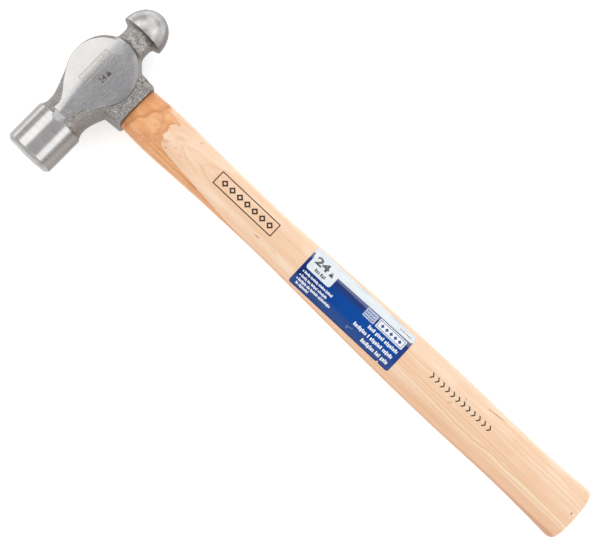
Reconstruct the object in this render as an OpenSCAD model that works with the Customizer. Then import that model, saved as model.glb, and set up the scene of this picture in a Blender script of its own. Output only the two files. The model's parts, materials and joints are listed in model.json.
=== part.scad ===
// Ball peen hammer with a wooden handle, lying on its side.
// The handle runs along X with its butt towards +X, the head runs along Y with its ball towards +Y,
// and Z is up. The modules are drawn about the centre of the eye, and on_its_side() moves them
// to the row's origin, which is the middle of the bottom of the whole hammer's box.

/* [Head] */
// Distance from the centre of the eye to the striking face
face_y = 65.4; // [55:0.1:75]
// Diameter of the striking barrel
barrel_d = 32.2; // [29:0.1:34]
// Width of the bevel round the striking face
face_bevel = 2.2; // [1:0.1:3]
// Length of the barrel, face to rear shoulder
barrel_l = 27.8; // [24:0.1:29]
// Diameter of the neck behind the barrel
barrel_neck_d = 27.5; // [24:0.1:28]
// Diameter of the ground cheeks round the eye
cheek_d = 41.6; // [40:0.1:44]
// Thickness of the head from cheek to cheek
cheek_t = 31.2; // [29:0.1:32]
// How far the forged wall between the cheeks bulges past their edge
cheek_bulge = 1.8; // [1:0.1:2.5]
// Diameter of the ball at its rim
ball_d = 28.9; // [27:0.1:31]
// Height of the ball from its rim to its tip
ball_h = 17.1; // [15:0.1:19]
// Distance from the centre of the eye to the ball's rim
rim_y = 34.5; // [33:0.1:37]
// How far the ball sits off the barrel's axis, towards the crown
ball_rise = 1.1; // [0:0.1:1.5]
// Diameter of the neck behind the ball
ball_neck_d = 19.5; // [17:0.1:21]

/* [Skirt and eye] */
// Distance from the centre of the eye to the skirt's lower edge
skirt_x = 28; // [26:0.1:32]
// Width of the skirt at its lower edge
skirt_w = 30.8; // [30:0.1:34]
// Width of the skirt where it joins the cheeks
skirt_top_w = 33.6; // [32:0.1:36]
// Thickness of the skirt
skirt_t = 28; // [24:0.1:29]
// Length of the eye, along the head
eye_l = 25; // [22:0.1:27]
// Width of the eye, across the cheeks
eye_w = 15.6; // [13:0.1:18]
// How much longer and wider the eye is at the crown
eye_flare = 2.4; // [1:0.1:3]
// Depth of the flared mouth of the eye
flare_depth = 12; // [8:0.5:16]

/* [Handle] */
// Distance from the centre of the eye to the end of the butt
butt_x = 383.4; // [360:0.1:410]
// Width of the handle where it leaves the skirt
shoulder_w = 29; // [27:0.1:30]
// Width of the slight swelling just below the skirt
collar_w = 30.7; // [29:0.1:32]
// Width of the thinnest place
neck_w = 28.1; // [26:0.1:29]
// Width of the grip's swelling
grip_w = 35; // [33:0.1:36]
// Width of the waist between the grip and the butt
waist_w = 34; // [32:0.1:34.5]
// Width of the butt
butt_w = 37.6; // [36:0.1:39]
// Thickness of the thinnest place
neck_t = 20; // [18:0.1:22]
// Thickness of the grip
grip_t = 25.4; // [23:0.1:28]
// Squareness of the handle's oval section: 2 is an ellipse
squareness = 2.5; // [2:0.1:3]
// Radius round the edge of the butt
butt_round = 4; // [2:0.1:5]

/* [Wedges] */
// Thickness of the wooden wedge at the crown
wood_wedge_t = 4; // [3:0.1:5]
// Depth of the wooden wedge
wood_wedge_depth = 24; // [18:0.5:30]
// Thickness of each steel wedge at the crown
steel_wedge_t = 2.4; // [1.5:0.1:3]
// Width of each steel wedge, across the wooden one
steel_wedge_w = 11; // [9:0.1:12]
// Depth of each steel wedge
steel_wedge_depth = 15; // [10:0.5:18]
// Distance between the two steel wedges
steel_wedge_gap = 11; // [9:0.1:12]

/* [Label] */
// Where the label starts, from the centre of the eye
label_x = 163; // [150:0.1:170]
// Length of the label
label_l = 79.4; // [60:0.1:90]
// Reach of the label down the striking side of the handle
label_face_y = 13.4; // [10:0.1:14]
// Reach of the label down the ball side of the handle
label_ball_y = 13.1; // [10:0.1:14]
// Thickness of the label
label_t = 0.2; // [0.1:0.05:0.3]

/* [Hidden] */
$fn = 96;

barrel_r = barrel_d / 2;
cheek_r = cheek_d / 2;
crown_x = -(cheek_r + cheek_bulge);
tip_y = rim_y + ball_h;
arc_steps = 10;

// The steel's rear shoulder, its slope down to the barrel's neck and the neck's own place
shoulder_l = 3.6;
barrel_neck_y = 30.3;
// Where the flare from the barrel's neck runs into the body
flare_end_y = 6;
flare_end_r = 21.6;
// Where the neck behind the ball is thinnest, and where it runs into the body
ball_neck_y = 27.3;
ball_flare_y = 14;
ball_flare_r = 16.5;

// Rounding of the skirt's upright corners and of its lower edge, where it starts, and how far
// it sits towards the striking side
skirt_round = 5;
skirt_edge = 1.8;
skirt_top_x = 8;
skirt_shift = 0.5;
chord_fn = 32;

// Rows of the handle's shape: distance from the eye, width and thickness
HANDLE_ROWS = [
    [skirt_x, shoulder_w, neck_t + 1.6],
    [48, collar_w, neck_t + 2.2],
    [72, between(collar_w, neck_w, 0.42), neck_t + 1.6],
    [100, between(collar_w, neck_w, 0.88), neck_t + 0.6],
    [133, neck_w, neck_t],
    [167, between(neck_w, grip_w, 0.23), neck_t + 1],
    [215, between(neck_w, grip_w, 0.7), between(neck_t, grip_t, 0.6)],
    [250, between(neck_w, grip_w, 0.93), between(neck_t, grip_t, 0.9)],
    [288, grip_w, grip_t],
    [331, waist_w, grip_t - 0.4],
    [360, between(waist_w, butt_w, 0.36), grip_t + 0.4],
    [butt_x, butt_w, grip_t + 1.4]
];
handle_sides = 40;
handle_step = 10;
// Room for the glue under the label
label_gap = 0.05;

// Moves a piece from the eye's centre to the row's origin
module on_its_side() {
    translate([-(crown_x + butt_x) / 2, (face_y - tip_y) / 2, barrel_r]) children();
}

// Points of a circular arc in a plane
function arc(centre, r, from, to, steps = arc_steps) =
    [for (i = [0 : steps]) centre + r * [cos(from + (to - from) * i / steps),
                                         sin(from + (to - from) * i / steps)]];

// The value a fraction t of the way from a to b
function between(a, b, t) = a + (b - a) * t;

// A smooth step from 0 to 1
function ease(t) = t * t * (3 - 2 * t);

// Value of a cubic curve through a table's rows at x
function slope(rows, i, c) =
    let (a = rows[max(i - 1, 0)], b = rows[min(i + 1, len(rows) - 1)])
    (b[c] - a[c]) / (b[0] - a[0]);
function row_at(rows, x, i = 0) =
    i >= len(rows) - 2 || x <= rows[i + 1][0] ? i : row_at(rows, x, i + 1);
function curve(rows, x, c) =
    let (i = row_at(rows, x), a = rows[i], b = rows[i + 1],
         d = b[0] - a[0], t = (x - a[0]) / d,
         ma = slope(rows, i, c) * d, mb = slope(rows, i + 1, c) * d)
    a[c] * (1 + 2 * t) * pow(1 - t, 2) + ma * t * pow(1 - t, 2)
    + b[c] * t * t * (3 - 2 * t) - mb * t * t * (1 - t);

// Point of the handle's surface at x and angle a, pushed out by grow and drawn in by shrink
function signed_pow(v, p) = sign(v) * pow(abs(v), p);
function handle_point(x, a, grow = 0, shrink = 0) =
    let (w = curve(HANDLE_ROWS, x, 1) / 2 - shrink, t = curve(HANDLE_ROWS, x, 2) / 2 - shrink,
         y = w * signed_pow(cos(a), 2 / squareness), z = t * signed_pow(sin(a), 2 / squareness),
         r = sqrt(y * y + z * z))
    [x, y * (r + grow) / r, z * (r + grow) / r];

// A closed solid through rings that all have the same number of points
module loft(rings) {
    n = len(rings[0]);
    last = len(rings) - 1;
    polyhedron(
        points = [for (ring = rings) for (p = ring) p],
        faces = concat(
            [[for (i = [0 : n - 1]) i]],
            [for (k = [0 : last - 1]) for (i = [0 : n - 1])
                each [[k * n + i, (k + 1) * n + i, (k + 1) * n + (i + 1) % n],
                      [k * n + i, (k + 1) * n + (i + 1) % n, k * n + (i + 1) % n]]],
            [[for (i = [n - 1 : -1 : 0]) last * n + i]]));
}

// Turns a profile of [radius, distance along the head] about the head's axis
module turned(profile) {
    rotate([-90, 0, 0]) rotate_extrude() polygon(profile);
}

// An oval of length l along Y and width w along Z, standing h high along X from x
module oval_post(l, w, x, h) {
    translate([x, 0, 0]) rotate([0, 90, 0]) linear_extrude(h) {
        square([w, l - w], center = true);
        for (s = [-1, 1]) translate([0, s * (l - w) / 2]) circle(d = w);
    }
}

// What fills the eye: straight from the skirt, then flared out to the crown
module eye_space(from_x, to_x) {
    oval_post(eye_l, eye_w, from_x + flare_depth / 2, to_x - from_x - flare_depth / 2);
    hull() {
        oval_post(eye_l + eye_flare, eye_w + eye_flare, from_x, 0.01, $fn = chord_fn);
        oval_post(eye_l, eye_w, from_x + flare_depth, 0.01, $fn = chord_fn);
    }
}

// Everything below the crown's surface, which trims what stands in the eye
module below_crown() {
    eye_body();
    translate([0, -barrel_d, -barrel_d]) cube([2 * skirt_x, 2 * barrel_d, 2 * barrel_d]);
}

// Barrel with its bevelled face, its neck, and the flare into the body
module barrel() {
    neck_r = barrel_neck_d / 2;
    rear_y = -face_y + barrel_l;
    rear_edge = 0.6;
    turned(concat(
        [[0, -face_y], [barrel_r - face_bevel, -face_y], [barrel_r, -face_y + face_bevel],
         [barrel_r, rear_y]],
        [for (i = [0 : arc_steps]) let (t = i / arc_steps)
            [between(barrel_r - rear_edge, neck_r, ease(t)), rear_y + rear_edge + shoulder_l * t]],
        [[neck_r, -barrel_neck_y]],
        [for (i = [1 : arc_steps]) let (t = i / arc_steps)
            [neck_r + (flare_end_r - neck_r) * (0.35 * t + 0.65 * t * t),
             -barrel_neck_y + (barrel_neck_y - flare_end_y) * t]],
        [[0, -flare_end_y]]));
}

// Ball with its sharp rim, undercut, neck, and the flare into the body
module ball() {
    neck_r = ball_neck_d / 2;
    rim_r = ball_d / 2;
    undercut = 1;
    translate([-ball_rise, 0, 0]) turned(concat(
        [[0, ball_flare_y]],
        [for (i = [0 : arc_steps]) let (a = 90 * i / arc_steps)
            [between(ball_flare_r, neck_r, sin(a)), between(ball_flare_y, ball_neck_y, i / arc_steps)]],
        [for (i = [1 : arc_steps]) let (a = 90 * i / arc_steps)
            [between(neck_r, rim_r - undercut, 1 - cos(a)), between(ball_neck_y, rim_y, sin(a))]],
        [for (i = [0 : 2 * arc_steps]) let (a = 45 * i / arc_steps)
            [rim_r * cos(a), rim_y + ball_h * sin(a)]]));
}

// Body round the eye: a drum with a bulging wall between two ground cheeks
module eye_body() {
    wall_r = (pow(cheek_t / 2, 2) + pow(cheek_bulge, 2)) / (2 * cheek_bulge);
    half = asin(cheek_t / 2 / wall_r);
    rotate_extrude() polygon(concat(
        [[0, -cheek_t / 2]],
        arc([cheek_r + cheek_bulge - wall_r, 0], wall_r, -half, half),
        [[0, cheek_t / 2]]));
}

// Skirt: the tapering block that carries the eye down round the handle
module skirt() {
    module slab(x, inset) {
        w = between(skirt_top_w, skirt_w, (x - skirt_top_x) / (skirt_x - skirt_top_x)) - 2 * inset;
        t = skirt_t - 2 * inset;
        translate([x, -skirt_shift, 0]) rotate([0, 90, 0]) linear_extrude(0.01)
            for (y = [-1, 1], z = [-1, 1])
                translate([z * (t / 2 - skirt_round), y * (w / 2 - skirt_round)])
                    circle(skirt_round, $fn = chord_fn);
    }
    hull() {
        slab(skirt_top_x, 0);
        slab(skirt_x - skirt_edge, 0);
        slab(skirt_x - 0.01, skirt_edge / 2);
    }
}

module head() {
    color("silver") on_its_side() difference() {
        union() {
            barrel();
            ball();
            eye_body();
            skirt();
        }
        for (s = [-1, 1])
            translate([-barrel_d, -barrel_neck_y, s * cheek_t - cheek_t / 2])
                cube([2 * barrel_d, 2 * barrel_neck_y, cheek_t]);
        eye_space(crown_x - 1, skirt_x + 1);
    }
}

// A wedge that is thick at the crown and thin at its buried edge, l long along Y
module wedge_solid(t, depth, l) {
    thin_t = 0.25 * t;
    rotate([90, 0, 0]) translate([crown_x, 0, -l / 2]) linear_extrude(l)
        polygon([[0, -t / 2], [0, t / 2], [depth, thin_t / 2], [depth, -thin_t / 2]]);
}

module steel_wedge(side) {
    intersection() {
        translate([0, side * steel_wedge_gap / 2, 0]) rotate([90, 0, 0])
            wedge_solid(steel_wedge_t, steel_wedge_depth, steel_wedge_w);
        below_crown();
    }
}

module wood_wedge_blank() {
    wedge_solid(wood_wedge_t, wood_wedge_depth, 2 * eye_l);
}

// Oval shaft from the skirt to the rounded butt
module shaft() {
    turns = [for (i = [0 : handle_sides - 1]) 360 * i / handle_sides];
    straight_end = butt_x - butt_round;
    count = round((straight_end - skirt_x) / handle_step);
    straight = [for (k = [0 : count]) [skirt_x + (straight_end - skirt_x) * k / count, 0]];
    rounded = [for (a = [22.5 : 22.5 : 90])
        [straight_end + butt_round * sin(a), butt_round * (1 - cos(a))]];
    loft([for (s = concat(straight, rounded)) [for (a = turns) handle_point(s[0], a, 0, s[1])]]);
}

module handle() {
    color("burlywood") on_its_side() difference() {
        union() {
            shaft();
            intersection() {
                eye_space(crown_x, skirt_x + 2);
                below_crown();
            }
        }
        wood_wedge_blank();
        for (side = [-1, 1]) steel_wedge(side);
    }
}

module wood_wedge() {
    color("tan") on_its_side() difference() {
        intersection() {
            wood_wedge_blank();
            eye_space(crown_x, skirt_x + 2);
            below_crown();
        }
        for (side = [-1, 1]) steel_wedge(side);
    }
}

module steel_wedge_face_side() {
    color("dimgray") on_its_side() steel_wedge(-1);
}

module steel_wedge_ball_side() {
    color("dimgray") on_its_side() steel_wedge(1);
}

// Angle at which the handle's section reaches y at x
function angle_at(x, y) = acos(signed_pow(2 * y / curve(HANDLE_ROWS, x, 1), squareness / 2));

// Thin sticker bent over the upper side of the handle
module label() {
    stations = 8;
    steps = 32;
    color("steelblue") on_its_side() loft([for (k = [0 : stations])
        let (x = label_x + label_l * k / stations,
             from = angle_at(x, label_ball_y), to = angle_at(x, -label_face_y),
             turns = [for (i = [0 : steps]) from + (to - from) * i / steps])
        concat(
            [for (a = turns) handle_point(x, a, label_gap + label_t)],
            [for (i = [steps : -1 : 0]) handle_point(x, turns[i], label_gap)])]);
}

head();
handle();
wood_wedge();
steel_wedge_face_side();
steel_wedge_ball_side();
label();
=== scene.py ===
"""Looks of a ball peen hammer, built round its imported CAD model.

Pieces are drawn in millimetres about the centre of the hammer's eye: X towards the butt,
Y towards the ball, Z up. to_row() moves them to the row frame, in metres.
"""

import json
import math

import bmesh
import bpy
import numpy as np
from mathutils import Matrix, Vector, noise


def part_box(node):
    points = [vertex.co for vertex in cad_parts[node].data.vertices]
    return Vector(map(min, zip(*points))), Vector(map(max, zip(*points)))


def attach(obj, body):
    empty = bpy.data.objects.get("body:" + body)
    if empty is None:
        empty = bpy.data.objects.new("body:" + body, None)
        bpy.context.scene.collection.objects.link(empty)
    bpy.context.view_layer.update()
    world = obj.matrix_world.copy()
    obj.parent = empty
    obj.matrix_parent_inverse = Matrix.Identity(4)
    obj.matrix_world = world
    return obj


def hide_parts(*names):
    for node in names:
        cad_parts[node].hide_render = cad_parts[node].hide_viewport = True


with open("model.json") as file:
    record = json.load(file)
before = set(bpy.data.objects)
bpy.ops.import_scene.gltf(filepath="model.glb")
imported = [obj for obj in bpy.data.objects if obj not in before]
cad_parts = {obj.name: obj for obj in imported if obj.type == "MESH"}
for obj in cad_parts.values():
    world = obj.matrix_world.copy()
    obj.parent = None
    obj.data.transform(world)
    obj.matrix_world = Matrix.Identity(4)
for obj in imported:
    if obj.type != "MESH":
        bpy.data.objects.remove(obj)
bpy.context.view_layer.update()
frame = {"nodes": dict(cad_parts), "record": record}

# ---------------------------------------------------------------- places, from the frame

MM = 0.001
MOUNTS = {mount["name"]: mount["pos_m"] for mount in frame["record"]["mounts"]}
EYE = np.array([MOUNTS["striking_face"][0], MOUNTS["grip"][1], MOUNTS["striking_face"][2]])


def to_row(points):
    """Millimetres about the eye to metres in the row frame."""
    return EYE + MM * np.asarray(points, dtype=float)


def box_mm(node):
    """Lowest and highest corner of a CAD node, in millimetres about the eye."""
    return [(np.array(corner) - EYE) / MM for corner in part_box(node)]


HEAD_LO, HEAD_HI = box_mm("head")
LABEL_LO, LABEL_HI = box_mm("label")
# The wooden wedge ends level with the crown
CROWN_R = -box_mm("wood_wedge")[0][0]
SKIRT_X = HEAD_HI[0]
FACE_Y = HEAD_LO[1]
TIP_Y = HEAD_HI[1]
BARREL_R = HEAD_HI[2]
BUTT_X = box_mm("handle")[1][0]

# ---------------------------------------------------------------- head, in millimetres

CHEEK_Z = 15.6
CHEEK_BULGE = 1.8
FACE_BEVEL = 2.2
FACE_CROWN = 0.25
REAR_Y = -37.6
# The flare from the barrel's neck into the body: place along the head, half size along the
# handle, half size through the cheeks
FLARE = np.array([
    (-38.5, 15.6, 15.9), (-37.2, 15.3, 15.8), (-36.0, 14.75, 15.6), (-34.2, 14.1, 15.6),
    (-31.0, 13.8, 15.8), (-28.5, 14.0, 16.2), (-26.0, 14.6, 17.0), (-22.5, 15.7, 19.0),
    (-18.5, 17.2, 22.6), (-14.0, 18.7, 27.0), (-9.0, 20.3, 30.0), (-3.0, 21.2, 32.0)])
# A second, smaller drum fills the body out towards the ball's neck
SHOULDER_X = -0.8
SHOULDER_Y = 3.4
SHOULDER_R = 19.0
BALL_X = -1.1
BALL_R = 14.45
BALL_RIM_Y = 34.5
BALL_NECK_R = 9.75
BALL_NECK_Y = 27.3
NECK_FLARE_R = 16.5
NECK_FLARE_Y = 14.0
UNDERCUT_R = 5.2
SKIRT_Y = -0.5
# Skirt: place along the handle, half width and half thickness at its top and its end
SKIRT_TOP = (8.0, 16.8, 14.4)
SKIRT_END = (28.0, 15.4, 13.9)
SKIRT_CORNER = 3.2
SKIRT_EDGE = 1.3
EYE_L = 25.0
EYE_W = 15.6
EYE_FLARE = 2.4
FLARE_DEPTH = 12.0
# How softly the parts of the forged body run together
SHOULDER_BLEND = 1.5
FLARE_BLEND = 1.2
NECK_BLEND = 2.5
SKIRT_BLEND = 1.4
# Step of the grid it is sampled on, how far its skin lies under the drawn body, and the waves
# of that skin as (height, waves per millimetre)
GRID_STEP = 0.42
SKIN_DEPTH = 0.12
SKIN_WAVES = ((0.07, 0.32), (0.05, 0.9))
# Ground cheeks: how they curve along the head, and the soft crease between their two facets
CHEEK_CURVE = 0.0008
CREASE_X = -4.3
CREASE_START_Y = -35.0
CREASE_TURN = 0.13
CREASE_TURN_Y = -12.0
# The crease softens along the head, and faster past the middle of the eye
CREASE_SOFT = 0.15
CREASE_SOFTENS = 0.035
CREASE_FASTER = 0.003
CREASE_FASTER_Y = -5.0
FACET_TILT = math.tan(math.radians(7))
# The small facet ground across the barrel's rear shoulder
NICK_FROM_Y = -40.1
NICK_TO_Y = -34.6
NICK_SLOPE = 0.26
# The cheek rolls off towards its rim on the handle's side
ROLL_R = 17.2
ROLL_REACH = 4.0
ROLL_CURVE = 0.02
# A blank stamped panel in the upper cheek: its middle and its half sizes
PANEL_X = -5.0
PANEL_Y = -0.4
PANEL_HALF_X = 2.7
PANEL_HALF_Y = 11.6

# ---------------------------------------------------------------- handle, in millimetres

SQUARENESS = 2.5
BUTT_ROUND = 4.0
BUTT_DOME = 0.5
TENON_RECESS = 0.3
TENON_GAP = 0.1

# ---------------------------------------------------------------- label, in millimetres

# The film's outside stands this far off the wood, and each layer of print lies on the last
FILM_TOP = 0.14
LAYER = 0.02
FILM_CORNER = 1.3
# A small tear at the label's edge: place before its end, half width and depth
TEAR_FROM_END = 8.2
TEAR_HALF = 0.9
TEAR_DEPTH = 1.3

# ---------------------------------------------------------------- view and studio

# The camera looks down at the middle of the hammer from a little towards the striking side,
# and is turned so that the handle runs down to the right.
VIEW_TARGET = (165.3, -4.9, 0.0)
VIEW_HEIGHT = 806.0
VIEW_SIDE = 105.1
VIEW_ROLL = 43.2
LENS = 81.685
# Height of the printed side of the handle over its middle
PRINT_HEIGHT = 12.4
# Half size of the floor and distance of the lamps in metres, the floor's glow, the world's light
FLOOR_HALF = 3.0
LAMP_DISTANCE = 1.8
FLOOR_GLOW = 0.46
WORLD_LIGHT = 0.59
# Rectangular lamps as seen from the head: bearing from +X towards +Y, nearest and furthest edge
# in degrees from straight up, width in metres, and brightness
LAMPS = {"crown_side": (180, 19, 59, 2.2, 1.12), "butt_side": (0, 40, 69, 2.0, 1.1),
         "ball_side": (84, 33, 68, 2.6, 1.2), "face_side": (262, 40, 70, 2.6, 0.8)}


# ---------------------------------------------------------------- mesh helpers

def in_scene(name, data):
    """An object that shows the data, in the scene."""
    obj = bpy.data.objects.new(name, data)
    bpy.context.scene.collection.objects.link(obj)
    return obj


def evaluated_mesh(obj):
    """The object's mesh after its modifiers, or the filled mesh of its curve."""
    bpy.context.view_layer.update()
    graph = bpy.context.evaluated_depsgraph_get()
    return bpy.data.meshes.new_from_object(obj.evaluated_get(graph))


def new_object(name, verts, faces, smooth=True):
    """A mesh object in the row frame from points in millimetres about the eye."""
    mesh = bpy.data.meshes.new(name)
    mesh.from_pydata(to_row(verts).tolist(), [], faces)
    mesh.polygons.foreach_set("use_smooth", [smooth] * len(mesh.polygons))
    return in_scene(name, mesh)


def grid_faces(rows, cols, wrap=False, flip=False):
    """Quads over a grid of points, rows by cols, joined round the columns if wrap."""
    faces = []
    for i in range(rows - 1):
        for j in range(cols if wrap else cols - 1):
            k = (j + 1) % cols
            quad = (i * cols + j, i * cols + k, (i + 1) * cols + k, (i + 1) * cols + j)
            faces.append(quad[::-1] if flip else quad)
    return faces


def turned(name, profile, centre_x=0.0):
    """A closed solid turned about the head's axis from (radius, y) points, face end first."""
    segments = 160
    turns = 2 * math.pi * np.arange(segments) / segments
    rings = [[(centre_x + r * math.cos(a), y, r * math.sin(a)) for a in turns]
             for r, y in profile]
    verts = [p for ring in rings for p in ring]
    faces = grid_faces(len(rings), segments, wrap=True, flip=True)
    first = len(verts)
    verts += [(centre_x, profile[0][1], 0), (centre_x, profile[-1][1], 0)]
    last_ring = (len(rings) - 1) * segments
    for j in range(segments):
        k = (j + 1) % segments
        faces.append((first, j, k))
        faces.append((first + 1, last_ring + k, last_ring + j))
    return new_object(name, verts, faces)


def loft(name, rings):
    """A closed solid through rings with the same number of points, capped at both ends."""
    rings = np.asarray(rings)
    count, sides = rings.shape[:2]
    faces = grid_faces(count, sides, wrap=True)
    faces.append(tuple(range(sides))[::-1])
    faces.append(tuple((count - 1) * sides + i for i in range(sides)))
    return new_object(name, rings.reshape(-1, 3), faces)


def outward(obj):
    """Turns every face of a closed mesh outwards."""
    work = bmesh.new()
    work.from_mesh(obj.data)
    bmesh.ops.recalc_face_normals(work, faces=work.faces)
    work.to_mesh(obj.data)
    work.free()
    return obj


def combine(obj, operation, *others, keep=False):
    """Boolean of obj with each other object, applied. The others are removed unless keep."""
    for other in others:
        step = obj.modifiers.new("combine", "BOOLEAN")
        step.operation = operation
        step.object = other
        step.solver = "MANIFOLD"
        mesh = evaluated_mesh(obj)
        obj.modifiers.clear()
        obj.data = mesh
        if not keep:
            bpy.data.objects.remove(other)
    return obj


def crisp(obj, degrees=25):
    """Smooth shading that breaks where two faces meet at more than this angle."""
    work = bmesh.new()
    work.from_mesh(obj.data)
    limit = math.radians(degrees)
    for face in work.faces:
        face.smooth = True
    for edge in work.edges:
        edge.smooth = len(edge.link_faces) == 2 and edge.calc_face_angle(0) < limit
    work.to_mesh(obj.data)
    work.free()
    return obj


def arc(cx, cy, r, start, end, steps):
    """Points of an arc, angles in degrees."""
    turns = np.radians(np.linspace(start, end, steps + 1))
    return [(cx + r * math.cos(a), cy + r * math.sin(a)) for a in turns]


def smooth_curve(x, xs, values):
    """Cubic curve through the points (xs, values), carried on past both ends."""
    xs = np.asarray(xs, dtype=float)
    values = np.asarray(values, dtype=float)
    slopes = np.gradient(values, xs)
    i = np.clip(np.searchsorted(xs, x) - 1, 0, len(xs) - 2)
    d = xs[i + 1] - xs[i]
    t = (x - xs[i]) / d
    return (values[i] * (1 + 2 * t) * (1 - t) ** 2 + slopes[i] * d * t * (1 - t) ** 2
            + values[i + 1] * t * t * (3 - 2 * t) - slopes[i + 1] * d * t * t * (1 - t))


def surface_net(field, low, step):
    """Points and quads round the zero level of a field sampled on a grid."""
    inside = field < 0
    n = np.array(field.shape) - 1
    corners = np.array([(i, j, k) for i in (0, 1) for j in (0, 1) for k in (0, 1)])

    def at_corner(values, c):
        return values[c[0]:c[0] + n[0], c[1]:c[1] + n[1], c[2]:c[2] + n[2]]

    count = sum(at_corner(inside, c).astype(np.int8) for c in corners)
    mixed = (count > 0) & (count < 8)
    index = np.full(mixed.shape, -1)
    index[mixed] = np.arange(mixed.sum())
    cells = np.argwhere(mixed)
    values = np.stack([at_corner(field, c)[mixed] for c in corners], axis=1)
    total = np.zeros((len(cells), 3))
    hits = np.zeros(len(cells))
    for a in range(8):
        for b in range(a + 1, 8):
            if np.abs(corners[a] - corners[b]).sum() != 1:
                continue
            fa, fb = values[:, a], values[:, b]
            cross = (fa < 0) != (fb < 0)
            t = np.where(cross, fa / np.where(cross, fa - fb, 1), 0)
            place = corners[a] + t[:, None] * (corners[b] - corners[a])
            total += np.where(cross[:, None], place, 0)
            hits += cross
    verts = low + step * (cells + total / hits[:, None])
    quads = []
    for axis in range(3):
        u, v = (axis + 1) % 3, (axis + 2) % 3
        lower = np.take(inside, range(n[axis]), axis=axis)
        upper = np.take(inside, range(1, n[axis] + 1), axis=axis)
        place = np.argwhere(lower != upper)
        keep = np.all((place[:, [u, v]] >= 1) & (place[:, [u, v]] <= n[[u, v]] - 1), axis=1)
        place = place[keep]
        ring = []
        for du, dv in ((-1, -1), (0, -1), (0, 0), (-1, 0)):
            cell = place.copy()
            cell[:, u] += du
            cell[:, v] += dv
            ring.append(index[tuple(cell.T)])
        quad = np.stack(ring, axis=1)
        into = lower[tuple(place.T)]
        quads.append(np.where(into[:, None], quad, quad[:, ::-1]))
    return verts, np.concatenate(quads)


# ---------------------------------------------------------------- head

def soft_min(a, b, k):
    """Smaller of two distances, blended over about k."""
    h = np.maximum(k - np.abs(a - b), 0) / k
    return np.minimum(a, b) - h * h * k / 4


def drum(x, y, z, cx, cy, radius):
    """Distance from a drum that stands through the cheeks, with a bulging wall."""
    edge = radius + CHEEK_BULGE * (1 - (z / CHEEK_Z) ** 2)
    return np.hypot(x - cx, y - cy) - edge


def barrel_flare(x, y, z):
    """Distance from the oval flare that joins the barrel to the body."""
    a = smooth_curve(y, FLARE[:, 0], FLARE[:, 1])
    b = smooth_curve(y, FLARE[:, 0], FLARE[:, 2])
    q = np.sqrt((x / a) ** 2 + (z / b) ** 2)
    steep = np.sqrt(x * x / a ** 4 + z * z / b ** 4) + 1e-9
    return np.maximum((q - 1) * q / steep, np.maximum(FLARE[0, 0] + 0.5 - y, y - FLARE[-1, 0]))


def ball_neck(x, y, z):
    """Distance from the neck behind the ball, with its undercut below the rim."""
    rise = np.clip((y - (BALL_RIM_Y - UNDERCUT_R)) / UNDERCUT_R, 0, 0.97)
    undercut = UNDERCUT_R * (1 - np.sqrt(1 - rise ** 2))
    along = np.clip((y - NECK_FLARE_Y) / (BALL_NECK_Y - NECK_FLARE_Y), 0, 1)
    r = NECK_FLARE_R + (BALL_NECK_R - NECK_FLARE_R) * np.sin(math.pi / 2 * along) + undercut
    d = np.hypot(x - BALL_X, z) - r
    return np.maximum(d, np.maximum(5 - y, y - BALL_RIM_Y + 0.25))


def rounded(a, b, r):
    """Distance from a corner of radius r, from the distances to the two faces that meet in it."""
    a, b = a + r, b + r
    return np.hypot(np.maximum(a, 0), np.maximum(b, 0)) + np.minimum(np.maximum(a, b), 0) - r


def skirt(x, y, z):
    """Distance from the tapering block round the handle's end of the eye."""
    t = (x - SKIRT_TOP[0]) / (SKIRT_END[0] - SKIRT_TOP[0])
    w = SKIRT_TOP[1] + (SKIRT_END[1] - SKIRT_TOP[1]) * t
    h = SKIRT_TOP[2] + (SKIRT_END[2] - SKIRT_TOP[2]) * t
    side = rounded(np.abs(y - SKIRT_Y) - w, np.abs(z) - h, SKIRT_CORNER)
    return np.maximum(rounded(side, x - SKIRT_X, SKIRT_EDGE), -x)


def body_distance(p):
    """Distance from the forged body: below zero inside."""
    x, y, z = p[..., 0], p[..., 1], p[..., 2]
    d = drum(x, y, z, 0, 0, CROWN_R - CHEEK_BULGE)
    d = soft_min(d, drum(x, y, z, SHOULDER_X, SHOULDER_Y, SHOULDER_R), SHOULDER_BLEND)
    d = soft_min(d, barrel_flare(x, y, z), FLARE_BLEND)
    d = soft_min(d, ball_neck(x, y, z), NECK_BLEND)
    d = soft_min(d, skirt(x, y, z), SKIRT_BLEND)
    return np.maximum(d, np.abs(z) - CHEEK_Z - 1)


def cheek_height(x, y):
    """Height of the ground cheek over the middle of the hammer."""
    main = CHEEK_Z - CHEEK_CURVE * y ** 2
    soft = (CREASE_SOFT + CREASE_SOFTENS * np.maximum(y - CREASE_START_Y, 0)
            + CREASE_FASTER * np.maximum(y - CREASE_FASTER_Y, 0) ** 2)
    crease = CREASE_X + CREASE_TURN * np.maximum(CREASE_TURN_Y - y, 0)
    drop = soft * np.logaddexp(0, (crease - x) / soft)
    # The roll-off fades towards the crown and towards the barrel
    roll = np.clip(np.hypot(x, y) - ROLL_R, 0, ROLL_REACH) ** 2 * np.clip(x / 8 + 0.3, 0, 1)
    main = main - FACET_TILT * drop - ROLL_CURVE * roll * np.clip(y / 8 + 1.5, 0, 1)
    nick = BARREL_R - NICK_SLOPE * (y - NICK_FROM_Y)
    return np.where(y < NICK_TO_Y, np.minimum(nick, BARREL_R + 1), main)


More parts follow.
